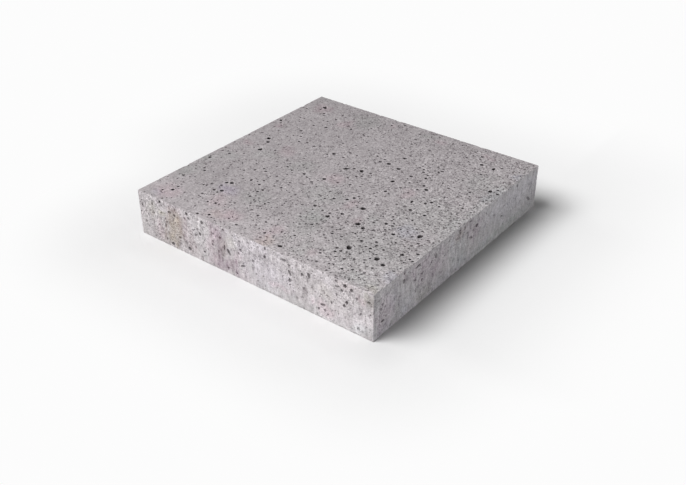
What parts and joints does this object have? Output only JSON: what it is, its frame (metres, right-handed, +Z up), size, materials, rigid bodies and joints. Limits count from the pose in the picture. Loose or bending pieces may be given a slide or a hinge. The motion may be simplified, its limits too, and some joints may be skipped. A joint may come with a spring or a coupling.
{
  "type": "concrete paving slab",
  "caption": "Square cast concrete paving slab with nearly sharp arrises and open blowholes, laid flat on a bed as walking surface.",
  "frame": {"origin": "centre of the bed face, the flat underside that lies on the bedding", "axes": "+Z up through the walking face; -Y out of the front side, which is the left one of the two sides that the picture shows; +X out of the right side"},
  "size_m": [0.35, 0.35, 0.06],
  "materials": {
    "concrete": "matt cement grey, finely sandy, with dark open blowholes and faint pinkish and greyish clouds"
  },
  "bodies": {
    "root": {"paving_slab": "concrete"}
  },
  "joints": []
}
